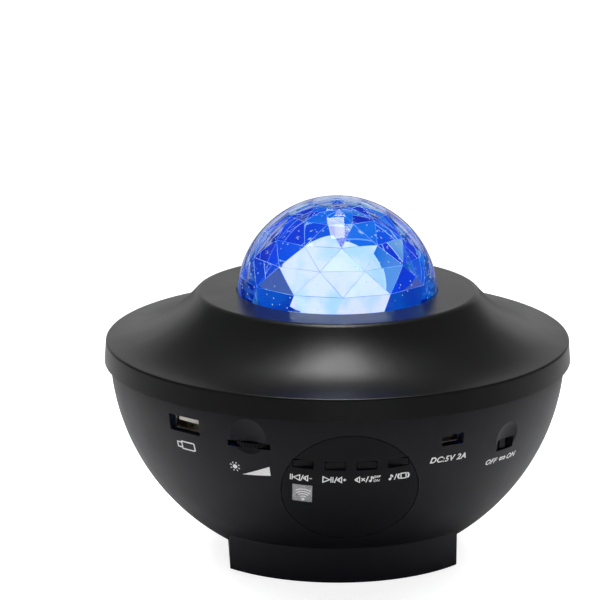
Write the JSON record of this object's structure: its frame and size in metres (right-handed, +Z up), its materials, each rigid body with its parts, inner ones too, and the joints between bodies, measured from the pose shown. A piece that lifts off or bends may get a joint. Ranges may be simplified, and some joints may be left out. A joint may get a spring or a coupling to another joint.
{
  "type": "star night light projector",
  "caption": "Bowl-shaped night light projector with a faceted glowing dome, push keys, thumbwheel, slide switch, sockets and a down-firing speaker.",
  "frame": {"origin": "centre of the footprint on the table", "axes": "+Z up along the axis of the bowl and dome, -Y towards the control panel, +X to the right seen from the front"},
  "size_m": [0.1692, 0.1692, 0.1273],
  "materials": {
    "cover": "spark-eroded satin",
    "bowl": "fine matt",
    "panel": "smooth satin",
    "keys": "satin",
    "crystal": "clear, faceted inside",
    "infrared": "translucent",
    "steel": "plated sheet",
    "contact": "gold-plated",
    "socket_black": "moulded",
    "rubber": "matt",
    "inner_plastic": "moulded",
    "gear_plastic": "acetal",
    "board": "solder mask",
    "chip": "moulded",
    "can": "satin",
    "sink": "extruded",
    "led": "phosphor",
    "lens": "rippled",
    "clear": "clear",
    "screw": "zinc-plated",
    "magnet": "plated",
    "paper": "pressed paper",
    "foam": "foam",
    "brass_part": "turned"
  },
  "bodies": {
    "housing": {"base_plate": "bowl", "base_screws": "screw", "board_capacitors": "can", "board_chips": "chip", "board_screws": "screw", "clamp_ring_screws": "screw", "control_panel": "panel", "cover_screws": "screw", "crystal_dome": "crystal", "dc_socket_shell": "steel", "dc_socket_tongue": "socket_black", "deck_screws": "screw", "dome_clamp_ring": "inner_plastic", "gear_guide": "inner_plastic", "grating_guide": "inner_plastic", "heat_sink": "sink", "ir_receiver": "chip", "ir_window": "infrared", "key_board": "board", "key_board_screws": "screw", "key_board_spacers": "inner_plastic", "laser_holder": "inner_plastic", "laser_module": "brass_part", "led_board": "board", "led_emitters": "led", "led_lens": "clear", "light_deck": "inner_plastic", "lower_bowl": "bowl", "main_board": "board", "motor_body": "can", "power_switch_body": "steel", "rubber_feet": "rubber", "speaker_frame": "magnet", "speaker_gasket": "foam", "speaker_magnet": "magnet", "speaker_screws": "screw", "speaker_surround": "foam", "tact_switches": "steel", "upper_cover": "cover", "usb_contacts": "contact", "usb_shell": "steel", "usb_tongue": "socket_black", "wheel_potentiometer": "chip"},
    "power_switch_knob": {"power_switch_knob": "keys"},
    "brightness_wheel": {"brightness_wheel": "keys"},
    "key_previous": {"key_previous": "keys"},
    "key_play": {"key_play": "keys"},
    "key_mute": {"key_mute": "keys"},
    "key_mode": {"key_mode": "keys"},
    "ripple_rotor": {"ripple_ring_gear": "gear_plastic", "ripple_lens": "lens"},
    "pinion_rotor": {"motor_pinion": "brass_part", "motor_shaft": "steel"},
    "grating_rotor": {"grating_gear": "gear_plastic", "star_grating": "clear"},
    "speaker_cone": {"speaker_cone": "paper"}
  },
  "joints": [
    {"name": "ripple_spin", "type": "hinge", "parent": "housing", "child": "ripple_rotor", "pos_m": [0, 0, 0.082], "axis": [0, 0, 1], "continuous": true},
    {"name": "pinion_spin", "type": "hinge", "parent": "housing", "child": "pinion_rotor", "pos_m": [-0.01732, 0.01, 0.082], "axis": [0, 0, 1], "continuous": true},
    {"name": "grating_spin", "type": "hinge", "parent": "housing", "child": "grating_rotor", "pos_m": [0, 0.024, 0.082], "axis": [0, 0, 1], "continuous": true},
    {"name": "wheel_turn", "type": "hinge", "parent": "housing", "child": "brightness_wheel", "pos_m": [-0.03137, -0.06636, 0.0575], "axis": [0, 0, 1], "range_deg": [-135, 135]},
    {"name": "power_slide", "type": "slide", "parent": "housing", "child": "power_switch_knob", "axis": [-0.7218, -0.6921, 0], "range_m": [0, 0.0022]},
    {"name": "cone_travel", "type": "slide", "parent": "housing", "child": "speaker_cone", "axis": [0, 0, 1], "range_m": [-0.0005, 0.0005], "stiffness_N_per_m": 900},
    {"name": "previous_press", "type": "slide", "parent": "housing", "child": "key_previous", "axis": [0, 0.9107, 0.4131], "range_m": [0, 0.0004], "stiffness_N_per_m": 1200, "springref_m": -0.0002},
    {"name": "play_press", "type": "slide", "parent": "housing", "child": "key_play", "axis": [0, 0.9107, 0.4131], "range_m": [0, 0.0004], "stiffness_N_per_m": 1200, "springref_m": -0.0002},
    {"name": "mute_press", "type": "slide", "parent": "housing", "child": "key_mute", "axis": [0, 0.9107, 0.4131], "range_m": [0, 0.0004], "stiffness_N_per_m": 1200, "springref_m": -0.0002},
    {"name": "mode_press", "type": "slide", "parent": "housing", "child": "key_mode", "axis": [0, 0.9107, 0.4131], "range_m": [0, 0.0004], "stiffness_N_per_m": 1200, "springref_m": -0.0002}
  ],
  "couplings": [
    {"joint": "pinion_spin", "follows": "ripple_spin", "ratio": -4},
    {"joint": "grating_spin", "follows": "ripple_spin", "ratio": -2}
  ]
}
